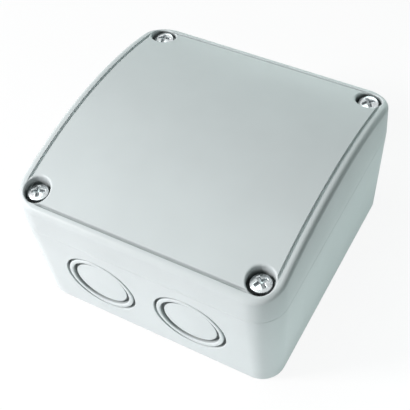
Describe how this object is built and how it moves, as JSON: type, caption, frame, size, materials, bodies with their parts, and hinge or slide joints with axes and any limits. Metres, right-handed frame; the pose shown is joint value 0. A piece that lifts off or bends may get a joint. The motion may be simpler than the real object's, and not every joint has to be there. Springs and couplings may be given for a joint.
{
  "type": "garage door controller",
  "caption": "Square wall-mounted door controller: moulded case with an arched lid on corner screws, stepped conduit knockouts, and a relay and radio control board inside.",
  "frame": {"origin": "middle of the underside, which is the face that goes against the wall", "axes": "+Z out of the wall and through the lid, -Y out of the face with the conduit knockouts, +X to the right of that face"},
  "size_m": [0.09, 0.09, 0.055],
  "materials": {
    "case_grey": "fine moulded texture, satin",
    "zinc_steel": "bright zinc plate",
    "seal_black": "matt rubber",
    "board_green": "solder mask over glass laminate",
    "black_plastic": "moulded, satin",
    "transformer_black": "potted, satin",
    "relay_blue": "moulded, gloss",
    "brass": "stamped, bright",
    "tin_plate": "tinned, bright",
    "clear_glass": "clear",
    "terminal_green": "moulded, satin",
    "copper_wire": "enamelled copper",
    "lamp_green": "clear tinted resin",
    "lamp_red": "clear tinted resin",
    "button_red": "moulded, satin",
    "button_white": "moulded, satin",
    "switch_red": "moulded, satin",
    "lever_white": "moulded, satin",
    "trimmer_blue": "moulded, satin",
    "sleeve_navy": "shrink sleeve",
    "varistor_blue": "dipped coating",
    "jumper_blue": "moulded, satin"
  },
  "bodies": {
    "base": {"base_shell": "case_grey", "circuit_board": "board_green", "board_screws": "zinc_steel", "transformer": "transformer_black", "relay_open": "relay_blue", "relay_close": "relay_blue", "fuse_clips": "tin_plate", "power_terminal_housing": "terminal_green", "control_terminal_housing": "terminal_green", "terminal_contacts": "tin_plate", "microcontroller": "black_plastic", "microcontroller_leads": "tin_plate", "radio_board": "board_green", "radio_shield": "tin_plate", "radio_header": "black_plastic", "antenna_wire": "copper_wire", "power_lamp": "lamp_green", "status_lamp": "lamp_red", "button_housings": "black_plastic", "switch_housing": "switch_red", "trimmer_body": "trimmer_blue", "capacitors": "sleeve_navy", "varistor": "varistor_blue", "bridge_rectifier": "black_plastic", "voltage_regulator": "black_plastic", "jumper_header": "black_plastic"},
    "lid": {"lid": "case_grey", "gasket": "seal_black"},
    "fuse": {"fuse_glass": "clear_glass", "fuse_caps": "tin_plate"},
    "seal_ring_front_left": {"seal_front_left": "seal_black"},
    "screw_front_left": {"lid_screw_front_left": "zinc_steel"},
    "seal_ring_front_right": {"seal_front_right": "seal_black"},
    "screw_front_right": {"lid_screw_front_right": "zinc_steel"},
    "seal_ring_back_right": {"seal_back_right": "seal_black"},
    "screw_back_right": {"lid_screw_back_right": "zinc_steel"},
    "seal_ring_back_left": {"seal_back_left": "seal_black"},
    "screw_back_left": {"lid_screw_back_left": "zinc_steel"},
    "power_screw_1": {"power_screw_1": "zinc_steel"},
    "power_cage_1": {"power_cage_1": "brass"},
    "power_screw_2": {"power_screw_2": "zinc_steel"},
    "power_cage_2": {"power_cage_2": "brass"},
    "power_screw_3": {"power_screw_3": "zinc_steel"},
    "power_cage_3": {"power_cage_3": "brass"},
    "power_screw_4": {"power_screw_4": "zinc_steel"},
    "power_cage_4": {"power_cage_4": "brass"},
    "control_screw_1": {"control_screw_1": "zinc_steel"},
    "control_cage_1": {"control_cage_1": "brass"},
    "control_screw_2": {"control_screw_2": "zinc_steel"},
    "control_cage_2": {"control_cage_2": "brass"},
    "control_screw_3": {"control_screw_3": "zinc_steel"},
    "control_cage_3": {"control_cage_3": "brass"},
    "learn_button": {"learn_button": "button_red"},
    "test_button": {"test_button": "button_white"},
    "switch_lever_1": {"switch_lever_1": "lever_white"},
    "switch_lever_2": {"switch_lever_2": "lever_white"},
    "switch_lever_3": {"switch_lever_3": "lever_white"},
    "switch_lever_4": {"switch_lever_4": "lever_white"},
    "trimmer_rotor": {"trimmer_rotor": "lever_white"},
    "jumper_cap": {"jumper_cap": "jumper_blue"}
  },
  "joints": [
    {"name": "lid_lift", "type": "slide", "parent": "base", "child": "lid", "axis": [0, 0, 1], "range_m": [0, 0.06]},
    {"name": "screw_rise_front_left", "type": "slide", "parent": "lid", "child": "seal_ring_front_left", "axis": [0, 0, 1], "range_m": [0, 0.013]},
    {"name": "screw_turn_front_left", "type": "hinge", "parent": "seal_ring_front_left", "child": "screw_front_left", "pos_m": [-0.03775, -0.03775, 0.046], "axis": [0, 0, 1], "range_deg": [0, 3600.1]},
    {"name": "screw_rise_front_right", "type": "slide", "parent": "lid", "child": "seal_ring_front_right", "axis": [0, 0, 1], "range_m": [0, 0.013]},
    {"name": "screw_turn_front_right", "type": "hinge", "parent": "seal_ring_front_right", "child": "screw_front_right", "pos_m": [0.03775, -0.03775, 0.046], "axis": [0, 0, 1], "range_deg": [0, 3600.1]},
    {"name": "screw_rise_back_right", "type": "slide", "parent": "lid", "child": "seal_ring_back_right", "axis": [0, 0, 1], "range_m": [0, 0.013]},
    {"name": "screw_turn_back_right", "type": "hinge", "parent": "seal_ring_back_right", "child": "screw_back_right", "pos_m": [0.03775, 0.03775, 0.046], "axis": [0, 0, 1], "range_deg": [0, 3600.1]},
    {"name": "screw_rise_back_left", "type": "slide", "parent": "lid", "child": "seal_ring_back_left", "axis": [0, 0, 1], "range_m": [0, 0.013]},
    {"name": "screw_turn_back_left", "type": "hinge", "parent": "seal_ring_back_left", "child": "screw_back_left", "pos_m": [-0.03775, 0.03775, 0.046], "axis": [0, 0, 1], "range_deg": [0, 3600.1]},
    {"name": "power_clamp_turn_1", "type": "hinge", "parent": "base", "child": "power_screw_1", "pos_m": [-0.02362, -0.02415, 0.02], "axis": [0, 0, 1], "range_deg": [-1440.1, 0]},
    {"name": "power_cage_rise_1", "type": "slide", "parent": "base", "child": "power_cage_1", "axis": [0, 0, 1], "range_m": [0, 0.002]},
    {"name": "power_clamp_turn_2", "type": "hinge", "parent": "base", "child": "power_screw_2", "pos_m": [-0.01854, -0.02415, 0.02], "axis": [0, 0, 1], "range_deg": [-1440.1, 0]},
    {"name": "power_cage_rise_2", "type": "slide", "parent": "base", "child": "power_cage_2", "axis": [0, 0, 1], "range_m": [0, 0.002]},
    {"name": "power_clamp_turn_3", "type": "hinge", "parent": "base", "child": "power_screw_3", "pos_m": [-0.01346, -0.02415, 0.02], "axis": [0, 0, 1], "range_deg": [-1440.1, 0]},
    {"name": "power_cage_rise_3", "type": "slide", "parent": "base", "child": "power_cage_3", "axis": [0, 0, 1], "range_m": [0, 0.002]},
    {"name": "power_clamp_turn_4", "type": "hinge", "parent": "base", "child": "power_screw_4", "pos_m": [-0.00838, -0.02415, 0.02], "axis": [0, 0, 1], "range_deg": [-1440.1, 0]},
    {"name": "power_cage_rise_4", "type": "slide", "parent": "base", "child": "power_cage_4", "axis": [0, 0, 1], "range_m": [0, 0.002]},
    {"name": "control_clamp_turn_1", "type": "hinge", "parent": "base", "child": "control_screw_1", "pos_m": [0.01292, -0.02415, 0.02], "axis": [0, 0, 1], "range_deg": [-1440.1, 0]},
    {"name": "control_cage_rise_1", "type": "slide", "parent": "base", "child": "control_cage_1", "axis": [0, 0, 1], "range_m": [0, 0.002]},
    {"name": "control_clamp_turn_2", "type": "hinge", "parent": "base", "child": "control_screw_2", "pos_m": [0.018, -0.02415, 0.02], "axis": [0, 0, 1], "range_deg": [-1440.1, 0]},
    {"name": "control_cage_rise_2", "type": "slide", "parent": "base", "child": "control_cage_2", "axis": [0, 0, 1], "range_m": [0, 0.002]},
    {"name": "control_clamp_turn_3", "type": "hinge", "parent": "base", "child": "control_screw_3", "pos_m": [0.02308, -0.02415, 0.02], "axis": [0, 0, 1], "range_deg": [-1440.1, 0]},
    {"name": "control_cage_rise_3", "type": "slide", "parent": "base", "child": "control_cage_3", "axis": [0, 0, 1], "range_m": [0, 0.002]},
    {"name": "fuse_lift", "type": "slide", "parent": "base", "child": "fuse", "axis": [0, 0, 1], "range_m": [0, 0.012]},
    {"name": "learn_press", "type": "slide", "parent": "base", "child": "learn_button", "axis": [0, 0, -1], "range_m": [0, 0.00025], "stiffness_N_per_m": 2000, "springref_m": -0.00005},
    {"name": "test_press", "type": "slide", "parent": "base", "child": "test_button", "axis": [0, 0, -1], "range_m": [0, 0.00025], "stiffness_N_per_m": 2000, "springref_m": -0.00005},
    {"name": "lever_slide_1", "type": "slide", "parent": "base", "child": "switch_lever_1", "axis": [0, 1, 0], "range_m": [0, 0.002]},
    {"name": "lever_slide_2", "type": "slide", "parent": "base", "child": "switch_lever_2", "axis": [0, 1, 0], "range_m": [0, 0.002]},
    {"name": "lever_slide_3", "type": "slide", "parent": "base", "child": "switch_lever_3", "axis": [0, 1, 0], "range_m": [0, 0.002]},
    {"name": "lever_slide_4", "type": "slide", "parent": "base", "child": "switch_lever_4", "axis": [0, 1, 0], "range_m": [0, 0.002]},
    {"name": "trimmer_turn", "type": "hinge", "parent": "base", "child": "trimmer_rotor", "pos_m": [0.02266, -0.0023, 0.0154], "axis": [0, 0, 1], "range_deg": [-135, 135]},
    {"name": "jumper_pull", "type": "slide", "parent": "base", "child": "jumper_cap", "axis": [0, 0, 1], "range_m": [0, 0.008]}
  ],
  "couplings": [
    {"joint": "screw_turn_front_left", "follows": "screw_rise_front_left", "rad_per_m": 4833.2},
    {"joint": "screw_turn_front_right", "follows": "screw_rise_front_right", "rad_per_m": 4833.2},
    {"joint": "screw_turn_back_right", "follows": "screw_rise_back_right", "rad_per_m": 4833.2},
    {"joint": "screw_turn_back_left", "follows": "screw_rise_back_left", "rad_per_m": 4833.2},
    {"joint": "power_clamp_turn_1", "follows": "power_cage_rise_1", "rad_per_m": -12566},
    {"joint": "power_clamp_turn_2", "follows": "power_cage_rise_2", "rad_per_m": -12566},
    {"joint": "power_clamp_turn_3", "follows": "power_cage_rise_3", "rad_per_m": -12566},
    {"joint": "power_clamp_turn_4", "follows": "power_cage_rise_4", "rad_per_m": -12566},
    {"joint": "control_clamp_turn_1", "follows": "control_cage_rise_1", "rad_per_m": -12566},
    {"joint": "control_clamp_turn_2", "follows": "control_cage_rise_2", "rad_per_m": -12566},
    {"joint": "control_clamp_turn_3", "follows": "control_cage_rise_3", "rad_per_m": -12566}
  ]
}
